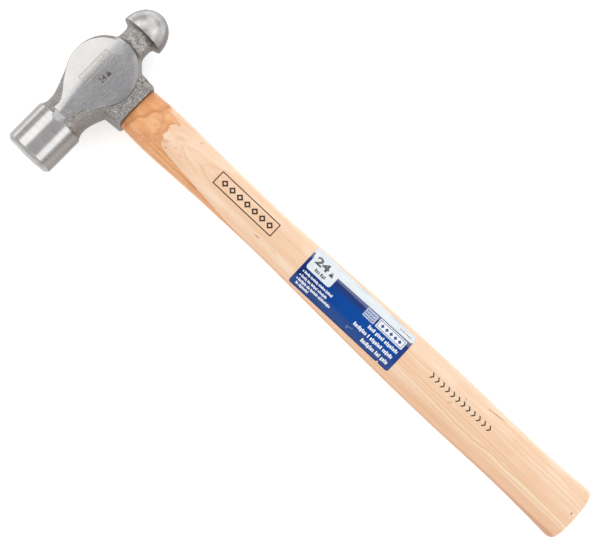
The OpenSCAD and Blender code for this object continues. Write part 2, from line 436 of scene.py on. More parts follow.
def make_body():
    """The forged body, from its distance field, roughened like a forging."""
    low = np.array([-CROWN_R - 1.5, FLARE[0, 0] - 1.0, -CHEEK_Z - 2.2])
    high = np.array([SKIRT_X + 1.5, BALL_RIM_Y + 1.5, CHEEK_Z + 2.2])
    axes = [np.arange(a, b, GRID_STEP) for a, b in zip(low, high)]
    grid = np.stack(np.meshgrid(*axes, indexing="ij"), axis=-1)
    verts, quads = surface_net(body_distance(grid), low, GRID_STEP)
    # Pull the points onto the surface, along the slope of the distance
    delta = 0.01
    for _ in range(4):
        slope = np.stack([
            (body_distance(verts + delta * e) - body_distance(verts - delta * e)) / (2 * delta)
            for e in np.eye(3)], axis=1)
        size = (slope ** 2).sum(axis=1)
        verts = verts - (body_distance(verts) / np.maximum(size, 0.2))[:, None] * slope
    normal = slope / np.sqrt(np.maximum(size, 1e-9))[:, None]
    rough = [sum(height * noise.noise(Vector(v) * pitch) for height, pitch in SKIN_WAVES)
             for v in verts.tolist()]
    verts = verts + (np.array(rough) - SKIN_DEPTH)[:, None] * normal
    return new_object("body", verts, quads.tolist())


def make_envelope():
    """A closed block whose top and bottom are the ground cheeks' surfaces."""
    xs = np.concatenate([[-40], np.arange(-24, 24.1, 0.6), [40]])
    ys = np.concatenate([[FACE_Y - 5, -50], np.arange(NICK_FROM_Y - 1, NICK_TO_Y - 0.1, 0.5),
                         np.arange(NICK_TO_Y, 30, 0.6), [TIP_Y + 5]])
    gx, gy = np.meshgrid(xs, ys)
    top = cheek_height(gx, gy)
    top = np.where((gy > 29) | (gy < -49), BARREL_R + 1, top)
    upper = np.stack([gx, gy, top], axis=-1).reshape(-1, 3)
    lower = upper * [1, 1, -1]
    rows, cols = gx.shape
    size = rows * cols
    faces = grid_faces(rows, cols)
    faces += [tuple(size + i for i in face[::-1]) for face in faces]
    border = (list(range(cols)) + [i * cols + cols - 1 for i in range(1, rows)]
              + [(rows - 1) * cols + j for j in range(cols - 2, -1, -1)]
              + [i * cols for i in range(rows - 2, 0, -1)])
    for i, a in enumerate(border):
        b = border[(i + 1) % len(border)]
        faces.append((b, a, size + a, size + b))
    return outward(new_object("envelope", np.concatenate([upper, lower]), faces))


def make_barrel():
    """Barrel: crowned face, bevel with broken edges, and rounded rear shoulder."""
    flat_r = BARREL_R - FACE_BEVEL
    rim_y = FACE_Y + FACE_CROWN
    bevel_y = FACE_Y + FACE_BEVEL
    crown = [(r, FACE_Y + FACE_CROWN * (r / flat_r) ** 2)
             for r in np.linspace(0.5, flat_r - 0.3, 14)]
    bevel = [(flat_r, rim_y + 0.08), (flat_r + 0.25, rim_y + 0.3),
             (BARREL_R - 0.3, bevel_y - 0.3), (BARREL_R - 0.08, bevel_y - 0.02),
             (BARREL_R, bevel_y + 0.3)]
    side = [(BARREL_R, y) for y in np.linspace(FACE_Y + 4, REAR_Y - 1, 12)]
    rear = [(BARREL_R, REAR_Y - 0.5), (BARREL_R - 0.08, REAR_Y - 0.2),
            (BARREL_R - 0.3, REAR_Y + 0.05), (BARREL_R - 0.6, REAR_Y + 0.15),
            (10, REAR_Y + 0.2), (1, REAR_Y + 0.2)]
    return outward(turned("barrel", crown + bevel + side + rear))


def make_ball():
    """Ball: a half ellipsoid with a sharp rim over the undercut."""
    under = [(1, BALL_RIM_Y - 1.2), (11, BALL_RIM_Y - 1.0), (13.6, BALL_RIM_Y - 0.55),
             (BALL_R - 0.35, BALL_RIM_Y - 0.25), (BALL_R - 0.08, BALL_RIM_Y - 0.1)]
    turns = np.radians(np.linspace(0, 89, 40))
    height = TIP_Y - BALL_RIM_Y
    dome = [(BALL_R * math.cos(a), BALL_RIM_Y + height * math.sin(a)) for a in turns]
    return outward(turned("ball", under + dome, BALL_X))


def oval(length, width):
    """Points of an oval with straight sides, its length along Y, as (y, z)."""
    straight = length / 2 - width / 2
    points = [(straight + width / 2 * math.cos(a), width / 2 * math.sin(a))
              for a in np.linspace(-math.pi / 2, math.pi / 2, 48)]
    return np.array(points + [(-y, -z) for y, z in points])


def eye_sections(start, stop, steps, grow=0.0):
    """Rings of the eye's space from start to stop, flared towards the crown."""
    rings = []
    for x in np.linspace(start, stop, steps):
        flare = EYE_FLARE * np.clip(1 - (x + CROWN_R) / FLARE_DEPTH, 0, 1.2)
        ring = oval(EYE_L + flare + grow, EYE_W + flare + grow)
        rings.append([(x, y, z) for y, z in ring])
    return rings


# Places of the head's finishes in its list of materials
GROUND, TURNED, BALL, FORGED, FACE = range(5)


def finish_of(centres):
    """Which finish each face of the head has, from the middle of the face."""
    x, y, z = centres.T
    finish = np.full(len(centres), FORGED)
    on_cheek = np.abs(np.abs(z) - cheek_height(x, y)) < 0.02
    finish[on_cheek & (y > NICK_FROM_Y - 1) & (y < 28)] = GROUND
    finish[(y < REAR_Y + 0.1) & ~on_cheek] = TURNED
    finish[y < NICK_FROM_Y - 0.5] = TURNED
    finish[y < FACE_Y + FACE_BEVEL + 0.1] = FACE
    finish[y > BALL_RIM_Y - 0.3] = BALL
    in_eye = (np.abs(y) < EYE_L / 2 + 1.5) & (np.abs(z) < EYE_W / 2 + 1.5) & (np.abs(x) < 20)
    finish[in_eye] = FORGED
    return finish


def make_head(finishes):
    """The forged body with barrel, ball and ground cheeks, and the eye through it."""
    head = make_body()
    combine(head, "UNION", make_barrel())
    combine(head, "INTERSECT", make_envelope())
    combine(head, "UNION", make_ball())
    combine(head, "DIFFERENCE", outward(loft("eye", eye_sections(-CROWN_R - 3, SKIRT_X + 2, 30))))
    head.name = "head_forging"
    centres = np.empty(len(head.data.polygons) * 3)
    head.data.polygons.foreach_get("center", centres)
    kinds = finish_of((centres.reshape(-1, 3) - EYE) / MM)
    head.data.materials.clear()
    for material in finishes:
        head.data.materials.append(material)
    head.data.polygons.foreach_set("material_index", kinds)
    crisp(head)
    return head


# ---------------------------------------------------------------- handle

def handle_rows():
    """Distance from the eye, half width and half thickness at each ring of the CAD handle."""
    mesh = frame["nodes"]["handle"].data
    points = np.empty(len(mesh.vertices) * 3)
    mesh.vertices.foreach_get("co", points)
    points = (points.reshape(-1, 3) - EYE) / MM
    points = points[(points[:, 0] > SKIRT_X - 0.5) & (points[:, 0] < BUTT_X - BUTT_ROUND + 0.5)]
    rows = []
    for x in np.unique(np.round(points[:, 0], 1)):
        ring = points[np.abs(points[:, 0] - x) < 0.2]
        if len(ring) >= 20 and np.abs(ring[:, 1]).max() > EYE_L / 2 + 1.5:
            rows.append((x, np.abs(ring[:, 1]).max(), np.abs(ring[:, 2]).max()))
    return np.array(rows)


ROWS = handle_rows()


def handle_half(x):
    """Half width and half thickness of the handle at x."""
    return (smooth_curve(x, ROWS[:, 0], ROWS[:, 1]), smooth_curve(x, ROWS[:, 0], ROWS[:, 2]))


def signed_power(v, p):
    """Power of a value's size, with the value's sign."""
    return np.sign(v) * np.abs(v) ** p


def handle_ring(x, turns, inset=0.0):
    """Points of the handle's section at x, drawn in by inset."""
    w, t = handle_half(x)
    y = (w - inset) * signed_power(np.cos(turns), 2 / SQUARENESS)
    z = (t - inset) * signed_power(np.sin(turns), 2 / SQUARENESS)
    return np.stack([np.full_like(y, x), y, z], axis=-1)


def top_height(x, y):
    """Height of the handle's upper side at (x, y)."""
    w, t = handle_half(x)
    return t * np.maximum(1 - np.abs(y / w) ** SQUARENESS, 0) ** (1 / SQUARENESS)


def on_handle(x, y, lift):
    """Points lifted off the handle's upper side, along its normal."""
    d = 0.05
    z = top_height(x, y)
    sx = (top_height(x + d, y) - top_height(x - d, y)) / (2 * d)
    sy = (top_height(x, y + d) - top_height(x, y - d)) / (2 * d)
    size = np.sqrt(1 + sx ** 2 + sy ** 2)
    return np.stack([x - lift * sx / size, y - lift * sy / size, z + lift / size], axis=-1)


def make_handle():
    """Shaft with its rounded butt, and the tenon, wedged, that fills the eye."""
    sides = 144
    turns = 2 * math.pi * np.arange(sides) / sides
    straight_end = BUTT_X - BUTT_DOME - BUTT_ROUND
    stations = [(x, 0.0) for x in np.linspace(SKIRT_X + 0.02, straight_end, 240)]
    stations += [(straight_end + BUTT_ROUND * math.sin(a), BUTT_ROUND * (1 - math.cos(a)))
                 for a in np.radians(np.linspace(6, 90, 14))]
    rings = [handle_ring(x, turns, inset) for x, inset in stations]
    rim = rings[-1]
    for scale in (0.9, 0.75, 0.55, 0.35, 0.18, 0.06):
        ring = rim * [1, scale, scale]
        ring[:, 0] = BUTT_X - BUTT_DOME * scale ** 2
        rings.append(ring)
    shaft = outward(loft("shaft", rings))
    combine(shaft, "UNION", make_tenon())
    wedges = [frame["nodes"][name] for name in
              ("wood_wedge", "steel_wedge_face_side", "steel_wedge_ball_side")]
    combine(shaft, "DIFFERENCE", *wedges, keep=True)
    shaft.name = "handle_shaft"
    return crisp(shaft, 35)


def make_tenon():
    """The wood in the eye, trimmed just below the crown's curve."""
    rings = eye_sections(SKIRT_X + 2, -CROWN_R + 8, 16, -TENON_GAP)
    flare = EYE_FLARE * 0.85
    top = oval(EYE_L + flare - TENON_GAP, EYE_W + flare - TENON_GAP)
    for scale in (1.0, 0.985, 0.95, 0.85, 0.7, 0.5, 0.3, 0.1):
        y, z = top[:, 0] * scale, top[:, 1] * scale
        edge = CROWN_R - CHEEK_BULGE * (z / CHEEK_Z) ** 2
        x = -np.sqrt(edge ** 2 - y ** 2) + TENON_RECESS + 0.25 * (scale == 1.0)
        rings.append(np.stack([x, y, z], axis=-1))
    return outward(loft("tenon", rings))


# ---------------------------------------------------------------- label and printing

def make_label():
    """Thin film round the upper side, with rounded corners and a small tear at its edge."""
    x0, x1 = LABEL_LO[0] + 0.02, LABEL_HI[0] - 0.02
    y0, y1 = LABEL_LO[1] + 0.15, LABEL_HI[1] - 0.15
    ends = np.concatenate([np.linspace(0, FILM_CORNER, 9), [FILM_CORNER * 1.5]])
    xs = np.concatenate([x0 + ends, np.arange(x0 + 2.5, x1 - 2.4, 0.5), (x1 - ends)[::-1]])
    across = 56
    top, bottom = [], []
    for x in xs:
        near = max(FILM_CORNER - min(x - x0, x1 - x), 0)
        inset = FILM_CORNER - math.sqrt(max(FILM_CORNER ** 2 - near ** 2, 0))
        tear = TEAR_DEPTH * max(1 - abs(x - (x1 - TEAR_FROM_END)) / TEAR_HALF, 0)
        low, high = y0 + inset + tear, y1 - inset
        w = handle_half(x)[0]
        a = np.arccos(signed_power(np.array([high, low]) / w, SQUARENESS / 2))
        turns = np.linspace(a[0], a[1], across)
        y = w * signed_power(np.cos(turns), 2 / SQUARENESS)
        top.append(on_handle(np.full(across, x), y, FILM_TOP))
        bottom.append(on_handle(np.full(across, x), y, 0.01))
    rings = [np.concatenate([a, b[::-1]]) for a, b in zip(top, bottom)]
    return crisp(outward(loft("label_film", rings)), 40)


def flat_shape(loops):
    """A filled flat mesh, as bmesh, from closed loops of (x, y). A loop in another is a hole."""
    curve = bpy.data.curves.new("flat", "CURVE")
    curve.dimensions = "2D"
    curve.fill_mode = "BOTH"
    for points in loops:
        line = curve.splines.new("POLY")
        line.points.add(len(points) - 1)
        for point, (x, y) in zip(line.points, points):
            point.co = (x, y, 0, 1)
        line.use_cyclic_u = True
    return mesh_from_curve(curve)


def mesh_from_curve(curve):
    """The filled mesh of a curve or text, as bmesh, with its data removed."""
    holder = in_scene("flat", curve)
    mesh = evaluated_mesh(holder)
    bpy.data.objects.remove(holder)
    work = bmesh.new()
    work.from_mesh(mesh)
    bpy.data.meshes.remove(mesh)
    bmesh.ops.remove_doubles(work, verts=work.verts, dist=1e-4)
    return work


def numerals(digits, width, height, embolden):
    """Filled numerals of that size, in millimetres, their lower left corner at 0, 0."""
    text = bpy.data.curves.new("numerals", "FONT")
    text.body = digits
    text.offset = embolden
    work = mesh_from_curve(text)
    low = [min(v.co[i] for v in work.verts) for i in (0, 1)]
    high = [max(v.co[i] for v in work.verts) for i in (0, 1)]
    for v in work.verts:
        v.co = Vector(((v.co[0] - low[0]) * width / (high[0] - low[0]),
                       (v.co[1] - low[1]) * height / (high[1] - low[1]), 0))
    return work


def bar(x0, y0, x1, y1, r):
    """Outline of a rectangle with rounded corners."""
    r = min(r, (x1 - x0) / 2, (y1 - y0) / 2)
    return (arc(x1 - r, y1 - r, r, 0, 90, 5) + arc(x0 + r, y1 - r, r, 90, 180, 5)
            + arc(x0 + r, y0 + r, r, 180, 270, 5) + arc(x1 - r, y0 + r, r, 270, 360, 5))


def printed(name, shapes, surface, low, high, material):
    """Ink on a surface: flat shapes, given as bmesh, made into one thin closed skin on it."""
    verts, faces = [], []
    for work in shapes:
        # Cut it into small pieces along X and Y, so that it can follow the surface
        for axis, step in ((0, 3.0), (1, 0.8)):
            values = [v.co[axis] for v in work.verts]
            start = math.floor(min(values) / step) * step
            for k in range(1, int((max(values) - start) / step) + 1):
                place, normal = [0, 0, 0], [0, 0, 0]
                place[axis] = start + k * step
                normal[axis] = 1
                everything = work.verts[:] + work.edges[:] + work.faces[:]
                bmesh.ops.bisect_plane(work, geom=everything, plane_co=place, plane_no=normal)
        bmesh.ops.recalc_face_normals(work, faces=work.faces)
        if work.faces and sum(f.normal.z * f.calc_area() for f in work.faces) < 0:
            bmesh.ops.reverse_faces(work, faces=work.faces)
        work.verts.index_update()
        flat = np.array([v.co[:2] for v in work.verts])
        count, first = len(flat), len(verts)
        verts += surface(flat[:, 0], flat[:, 1], high).tolist()
        verts += surface(flat[:, 0], flat[:, 1], low).tolist()
        for face in work.faces:
            ring = [first + v.index for v in face.verts]
            faces.append(ring)
            faces.append([count + i for i in ring[::-1]])
        for edge in work.edges:
            if len(edge.link_faces) == 1:
                loop = edge.link_loops[0]
                a = first + loop.vert.index
                b = first + loop.link_loop_next.vert.index
                faces.append([b, a, count + a, count + b])
        work.free()
    obj = new_object(name, verts, faces, smooth=False)
    obj.data.materials.append(material)
    return obj


def move(work, dx, dy):
    """Moves a flat shape."""
    bmesh.ops.translate(work, verts=work.verts, vec=(dx, dy, 0))
    return work


def weight_sign(x, y, size):
    """A small scale weight, drawn as a trapezium with a ring on top."""
    top = y + 0.62 * size
    body = [(x, y), (x + size, y), (x + 0.82 * size, top), (x + 0.18 * size, top)]
    ring = arc(x + size / 2, y + 0.78 * size, 0.2 * size, 0, 360, 20)[:-1]
    hole = arc(x + size / 2, y + 0.8 * size, 0.09 * size, 0, 360, 16)[:-1]
    return [flat_shape([body]), flat_shape([ring, hole])]


def lozenge(cx, cy, half_x, half_y):
    """Outline of a lozenge."""
    return [(cx - half_x, cy), (cx, cy - half_y), (cx + half_x, cy), (cx, cy + half_y)]


def words(left, y, height, lengths, pitch, gap):
    """One line of word-like runs of small blocks, which spell nothing."""
    shapes, x, count = [], left, 0
    for length in lengths:
        end = x + length
        while x < end - 0.3 * pitch:
            wide = pitch * (0.62 + 0.16 * math.sin(2.3 * count))
            tall = height * (1.0 if count % 5 in (0, 3) else 0.76)
            drop = height * (0.16 if count % 7 == 4 else 0.0)
            shapes.append(flat_shape([bar(x, y - drop, x + wide, y + tall, 0.08 * pitch)]))
            x += wide + 0.24 * pitch
            count += 1
        x += gap
    return shapes


def as_seen(x, y, lift):
    """A place on the wood, from where the camera sees it against the handle's middle plane."""
    shrink = 1 - PRINT_HEIGHT / VIEW_HEIGHT
    near_y = VIEW_TARGET[1] - VIEW_SIDE
    return on_handle(VIEW_TARGET[0] + (x - VIEW_TARGET[0]) * shrink,
                     near_y + (y - near_y) * shrink, lift)


# ---------------------------------------------------------------- materials

class Finish:
    """A material's node tree, with short calls to add and join nodes."""

    def __init__(self, name):
        self.material = bpy.data.materials.new(name)
        self.material.use_nodes = True
        self.tree = self.material.node_tree
        self.surface = self.tree.nodes["Principled BSDF"]
        self.place = self.tree.nodes.new("ShaderNodeTexCoord").outputs["Object"]

    def node(self, kind, settings=None, **inputs):
        """A new node. Spaces in the names of its inputs are written as underscores."""
        made = self.tree.nodes.new(kind)
        for key, value in (settings or {}).items():
            setattr(made, key, value)
        for key, value in inputs.items():
            self.put(made.inputs[key.replace("_", " ")], value)
        return made

    def put(self, socket, value):
        """Joins a socket to another, or gives it a value."""
        if isinstance(value, bpy.types.NodeSocket):
            self.tree.links.new(value, socket)
        else:
            socket.default_value = value

    def math(self, operation, a, b=0.0):
        made = self.node("ShaderNodeMath", {"operation": operation})
        self.put(made.inputs[0], a)
        self.put(made.inputs[1], b)
        return made.outputs[0]

    def add(self, first, *others):
        for other in others:
            first = self.math("ADD", first, other)
        return first

    def mul(self, first, *others):
        for other in others:
            first = self.math("MULTIPLY", first, other)
        return first

    def sub(self, a, b):
        return self.math("SUBTRACT", a, b)

    def size(self, a):
        return self.math("ABSOLUTE", a)

    def hypot(self, a, b):
        return self.math("SQRT", self.add(self.math("POWER", a, 2.0), self.math("POWER", b, 2.0)))

    def scaled(self, scale):
        """The place on the object about the eye, times a scale per millimetre for each axis."""
        moved = self.node("ShaderNodeVectorMath", {"operation": "SUBTRACT"})
        self.put(moved.inputs[0], self.place)
        self.put(moved.inputs[1], tuple(EYE))
        made = self.node("ShaderNodeVectorMath", {"operation": "MULTIPLY"})
        self.put(made.inputs[0], moved.outputs[0])
        self.put(made.inputs[1], tuple(s / MM for s in scale))
        return made.outputs[0]

    def axes(self):
        """The place in millimetres about the eye."""
        return tuple(self.node("ShaderNodeSeparateXYZ", Vector=self.scaled((1, 1, 1))).outputs)

    def noise_at(self, place, scale, detail=3.0, roughness=0.5, distortion=0.0):
        return self.node("ShaderNodeTexNoise", Vector=place, Scale=scale, Detail=detail,
                         Roughness=roughness, Distortion=distortion).outputs[0]

    def noise(self, scale, *settings):
        """Noise with so many waves per millimetre along each axis."""
        return self.noise_at(self.scaled(scale), 1.0, *settings)

    def ramp(self, value, low, high, from_value=0.0, to_value=1.0):
        made = self.node("ShaderNodeMapRange", {"interpolation_type": "SMOOTHSTEP"})
        for socket, v in zip(made.inputs, (value, low, high, from_value, to_value)):
            self.put(socket, v)
        return made.outputs[0]

    def curve(self, value, low, high, bottom, top, points):
        """A smooth curve through points (value, result), for values from low to high."""
        made = self.node("ShaderNodeFloatCurve")
        along = self.node("ShaderNodeMapRange", Value=value, From_Min=low, From_Max=high)
        self.put(made.inputs["Value"], along.outputs[0])
        line = made.mapping.curves[0].points
        scaled = [((v - low) / (high - low), (r - bottom) / (top - bottom)) for v, r in points]
        line[0].location = scaled[0]
        line[1].location = scaled[-1]
        for place in scaled[1:-1]:
            line.new(*place)
        made.mapping.update()
        return self.add(self.mul(made.outputs[0], top - bottom), bottom)

    def spot(self, x, y, cx, cy, rx, ry, tilt):
        """A soft oval spot, tilted by the slope given."""
        dx = self.sub(x, cx)
        dy = self.sub(self.sub(y, cy), self.mul(dx, tilt))
        far = self.add(self.math("POWER", self.math("DIVIDE", dx, rx), 2.0),
                       self.math("POWER", self.math("DIVIDE", dy, ry), 2.0))
        return self.ramp(far, 0.2, 1.3, 1.0, 0.0)

    def steep_wall_shade(self, low, high):
        """Mask for painted shade: 1 on walls that stand up from the floor, falling to 0 on level
        faces.
        """
        normal = self.node("ShaderNodeNewGeometry").outputs["Normal"]
        made = self.node("ShaderNodeSeparateXYZ", Vector=normal)
        return self.ramp(self.size(made.outputs[2]), low, high, 1.0, 0.0)

    def blend(self, factor, a, b, mode="MIX"):
        made = self.node("ShaderNodeMix", {"data_type": "RGBA", "blend_type": mode})
        self.put(made.inputs[0], factor)
        self.put(made.inputs[6], a)
        self.put(made.inputs[7], b)
        return made.outputs[2]

    def tones(self, factor, a, b):
        """From one display colour to another."""
        return self.blend(factor, rgb(*a), rgb(*b))

    def over(self, colour, factor, tone):
        """A display colour laid over a colour, as strong as the factor."""
        return self.blend(factor, colour, rgb(*tone))

    def layers(self, colour, *rows):
        """Display colours laid over a colour. Each has a value, the value where it starts, the
        value where it is strongest, and its strength there."""
        for tone, value, start, end, much in rows:
            colour = self.over(colour, self.ramp(value, start, end, 0.0, much), tone)
        return colour

    def bump(self, height, distance, strength, under=None):
        made = self.node("ShaderNodeBump", Height=height, Strength=strength, Distance=distance * MM)
        if under is not None:
            self.put(made.inputs["Normal"], under)
        return made.outputs[0]

    def set(self, **inputs):
        for key, value in inputs.items():
            self.put(self.surface.inputs[key.replace("_", " ")], value)
        return self.material

    def skin(self, colour, marks, smooth, rough, normal, **more):
        """The surface, as smooth and as rough as given where its marks are low and high."""
        return self.set(Base_Color=colour, Roughness=self.ramp(marks, 0.3, 0.7, smooth, rough),
                        Normal=normal, **more)


def rgb(r, g, b):
    """A linear colour with alpha from 0-255 display values."""
    def linear(v):
        v /= 255
        return v / 12.92 if v <= 0.04045 else ((v + 0.055) / 1.055) ** 2.4
    return (linear(r), linear(g), linear(b), 1.0)


def ground_steel():
    """Belt-ground cheeks: fine satin lines, with a painted highlight that makes the facet towards
    the crown brighter.
    """
    f = Finish("ground_steel")
    x, y, z = f.axes()
    lines = f.noise((4.5, 0.3, 0.3), 4, 0.65)
    fine = f.noise((12.0, 1.5, 1.5), 2, 0.6)
    cloud = f.noise((0.12, 0.1, 0.1), 4)
    tone = f.ramp(f.add(f.mul(lines, 0.75), f.mul(cloud, 0.25)), 0.35, 0.65)
    main = f.tones(tone, (164, 164, 167), (190, 189, 190))
    # Painted highlight: the facet towards the crown gets its own brighter colour than the main cheek
    facet = f.tones(tone, (183, 181, 178), (199, 197, 195))
    turn = f.mul(f.math("MAXIMUM", f.sub(CREASE_TURN_Y, y), 0.0), CREASE_TURN)
    colour = f.blend(f.ramp(f.sub(x, turn), CREASE_X, CREASE_X - 3.5), main, facet)
    # A blank stamped panel, worn almost flat, on the cheek that faces up
    past = f.math("MAXIMUM", f.sub(f.size(f.sub(x, PANEL_X)), PANEL_HALF_X),
                  f.sub(f.size(f.sub(y, PANEL_Y)), PANEL_HALF_Y))
    top = f.ramp(z, 5, 8)
    outline = f.mul(f.ramp(f.size(past), 0.4, 0.08), top)
    worn = f.mul(f.ramp(past, 0.0, -0.5), top, f.ramp(f.noise((0.9, 0.9, 0.9), 3, 0.6), 0.35, 0.65))
    colour = f.over(colour, f.mul(outline, 0.5), (134, 130, 124))
    colour = f.over(colour, f.mul(worn, 0.5), (160, 154, 144))
    pressed = f.bump(f.sub(f.mul(worn, 0.4), outline), 0.06, 0.5)
    # The rim: a painted highlight towards the ball and the handle, and scale left on it by the crown
    wall = f.sub(CROWN_R, f.mul(CHEEK_BULGE / CHEEK_Z ** 2, f.math("POWER", z, 2.0)))
    edge = f.sub(wall, f.hypot(x, y))
    # Painted highlight along the rim where it rolls off
    bright = f.mul(f.ramp(edge, 4.5, 0.5, 0.0, 0.55), f.ramp(y, 2.0, 9.0), f.ramp(x, 4.0, 9.0))
    colour = f.over(colour, bright, (224, 221, 217))
    scale = f.mul(f.ramp(edge, 0.55, 0.15), f.ramp(x, -6.0, -10.0, 0.0, 0.8), f.ramp(y, -13.0, -8.0))
    colour = f.over(colour, scale, (104, 98, 98))
    scratched = f.bump(f.add(lines, fine), 0.008, 0.6, pressed)
    return f.skin(colour, lines, 0.18, 0.28, scratched, Metallic=1.0)


def turned_steel():
    """Barrel: fine marks that run round it, and painted shade on its steep sides."""
    f = Finish("turned_steel")
    lines = f.noise((0.12, 3.0, 0.12), 4, 0.6)
    cloud = f.noise((0.09, 0.12, 0.09), 3)
    tone = f.ramp(f.add(f.mul(lines, 0.75), f.mul(cloud, 0.25)), 0.35, 0.65)
    colour = f.tones(tone, (184, 182, 181), (202, 201, 200))
    # Painted shade: darker where the barrel's sides turn up from the floor, damping the floor's
    # bright reflection there
    colour = f.over(colour, f.steep_wall_shade(0.58, 0.76), (142, 137, 133))
    colour = f.over(colour, f.steep_wall_shade(0.2, 0.5), (120, 115, 112))
    return f.skin(colour, lines, 0.16, 0.26, f.bump(lines, 0.01, 0.5), Metallic=1.0)


def face_steel():
    """Striking face and its bevel: satin, with marks that run round it."""
    f = Finish("face_steel")
    x, y, z = f.axes()
    out = f.node("ShaderNodeCombineXYZ", X=f.hypot(x, z)).outputs[0]
    rings = f.noise_at(out, 2.5)
    cloud = f.noise((0.15, 0.15, 0.15), 3)
    colour = f.tones(f.ramp(cloud, 0.3, 0.7), (132, 130, 128), (166, 164, 161))
    return f.skin(colour, rings, 0.28, 0.42, f.bump(rings, 0.02, 0.5), Metallic=1.0)


def ball_steel():
    """Ball: short strokes fanning from its tip, and painted shade on its steep sides."""
    f = Finish("ball_steel")
    x, y, z = f.axes()
    turn = f.math("ARCTAN2", z, f.sub(x, BALL_X))
    fan = f.node("ShaderNodeCombineXYZ", X=f.mul(turn, 9.0), Y=f.mul(y, 0.12)).outputs[0]
    strokes = f.noise_at(fan, 1.0)
    cloud = f.noise((0.16, 0.16, 0.16), 3)
    colour = f.tones(f.ramp(cloud, 0.3, 0.7), (172, 170, 168), (206, 205, 204))
    # Painted shade: darker where the ball's sides turn up from the floor
    colour = f.over(colour, f.steep_wall_shade(0.35, 0.8), (112, 108, 106))
    return f.skin(colour, strokes, 0.28, 0.45, f.bump(strokes, 0.02, 0.5), Metallic=1.0)


def forged_steel():
    """Skirt, necks and crown: dark, speckled and pitted, with a painted highlight on the neck behind
    the ball and painted shade in creases and on steep walls.
    """
    f = Finish("forged_steel")
    x, y, z = f.axes()
    grain = f.noise((1.6, 1.6, 1.6), 3, 0.6)
    coarse = f.noise((0.45, 0.45, 0.45), 3, 0.55)
    shade = f.add(f.mul(f.ramp(grain, 0.42, 0.6), 0.7), f.mul(coarse, 0.4))
    edges = f.node("ShaderNodeNewGeometry").outputs["Pointiness"]
    colour = f.tones(f.math("MINIMUM", shade, 1.0), (76, 73, 70), (194, 191, 188))
    # Sharp edges: bright rims worn on the convex ones, and painted shade in the hollows and creases
    colour = f.layers(colour, ((214, 212, 208), edges, 0.51, 0.56, 0.6),
                      ((60, 58, 56), edges, 0.49, 0.44, 0.7))
    # Painted highlight: a lighter patch on the neck behind the ball, where the lamps reflect
    neck = f.mul(f.ramp(y, 20.0, 27.0, 0.0, 0.5), f.ramp(f.size(x), 9.0, 3.0),
                 f.ramp(coarse, 0.38, 0.55))
    colour = f.over(colour, neck, (212, 208, 203))
    # Painted shade: darker on the walls that stand up from the floor
    colour = f.over(colour, f.mul(f.steep_wall_shade(0.3, 0.75), 0.45), (90, 84, 80))
    pitted = f.bump(grain, 0.3, 0.8, f.bump(coarse, 0.5, 0.8))
    return f.skin(colour, grain, 0.36, 0.56, pitted, Metallic=1.0)


# The edge of the heartwood, as (y, x), with the streak it sends down the striking side
HEARTWOOD = [(-16, 160), (-14.2, 131), (-12.6, 101), (-11.1, 81), (-9.9, 68), (-8.8, 60), (-7.6, 54),
             (-4, 52), (0, 51), (7.2, 50.8), (8.4, 53), (9.2, 54.5), (10.2, 50), (11.2, 45),
             (12.4, 43), (16, 43)]
# Veins that cross the heartwood, as (y, x), with their colour, edge and shade in millimetres
VEINS = [([(-16, 31), (-11, 31.5), (-5, 33), (-1.5, 36), (3.5, 37), (6.5, 40), (10.5, 41), (16, 40)],
          (206, 132, 70), 0.9, 4.5),
         ([(-16, 47), (-8, 45), (-4, 48), (1, 47), (6, 44), (10, 41), (16, 37)],
          (222, 158, 108), 0.7, 2.5)]
# A double line down the grip: place across the handle, colour and strength of each stroke
GRIP_LINES = [(-8.2, (232, 184, 138), 0.6), (-9.2, (252, 230, 198), 0.7),
              (4.0, (234, 190, 150), 0.4), (2.9, (252, 232, 206), 0.5)]
# Flecks, and a scratch near the butt: centre, half length, half width, slope, colour, strength
FLECKS = [(132.0, -7.8, 2.2, 0.35, 0.05, (196, 124, 78), 0.9),
          (145.5, -7.4, 1.3, 0.3, 0.0, (206, 142, 96), 0.5),
          (61.5, -2.7, 0.8, 0.5, 0.3, (214, 150, 104), 0.7),
          (57.0, -6.5, 0.9, 0.7, 0.5, (218, 152, 104), 0.8),
          (54.0, -4.2, 2.6, 1.6, 0.7, (232, 180, 138), 0.7),
          (66.5, -4.4, 2.0, 0.4, 0.1, (224, 166, 118), 0.6),
          (70.5, 10.2, 0.9, 1.0, 0.6, (226, 172, 128), 0.7),
          (49.0, -5.8, 3.2, 3.6, 0.0, (216, 150, 108), 0.45),
          (308.5, 12.4, 6.5, 0.28, 0.12, (150, 104, 72), 0.8),
          (302.5, 11.7, 0.9, 0.3, 0.2, (120, 80, 56), 0.7),
          (378.4, -0.4, 0.45, 0.9, 0.2, (96, 66, 48), 0.85),
          (281.5, -1.8, 1.6, 0.7, 0.6, (196, 158, 128), 0.6),
          (287.5, 6.6, 0.9, 0.7, -0.5, (190, 146, 110), 0.5)]


